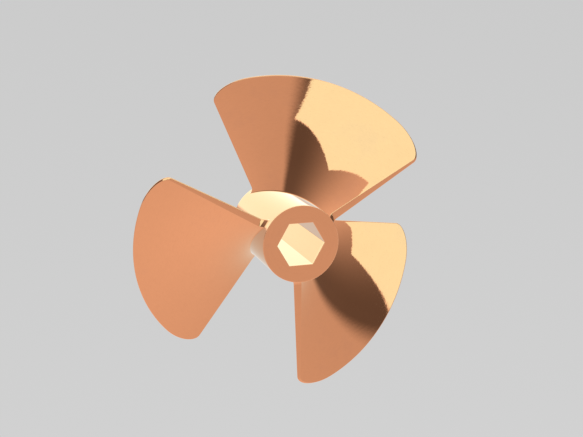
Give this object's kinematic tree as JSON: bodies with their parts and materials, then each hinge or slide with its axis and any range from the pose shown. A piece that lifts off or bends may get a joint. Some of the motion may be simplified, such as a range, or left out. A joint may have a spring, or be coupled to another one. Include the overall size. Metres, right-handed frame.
{
  "type": "ship propeller",
  "caption": "Fixed-pitch propeller with a plain round hub, a hexagonal through bore and fan-shaped twisted blades of left-handed pitch.",
  "frame": {"origin": "centre of the hub on the shaft axis, halfway between its two end faces, which is also the centre of mass", "axes": "+Z along the shaft axis, out of the hub face shown in the picture; +X through a corner of the hexagonal bore; +Y along the leading end of blade_1"},
  "size_m": [0.5994, 0.6039, 0.214],
  "materials": {
    "bronze": "satin"
  },
  "bodies": {
    "root": {"hub": "bronze", "blade_1": "bronze", "blade_2": "bronze", "blade_3": "bronze"}
  },
  "joints": []
}
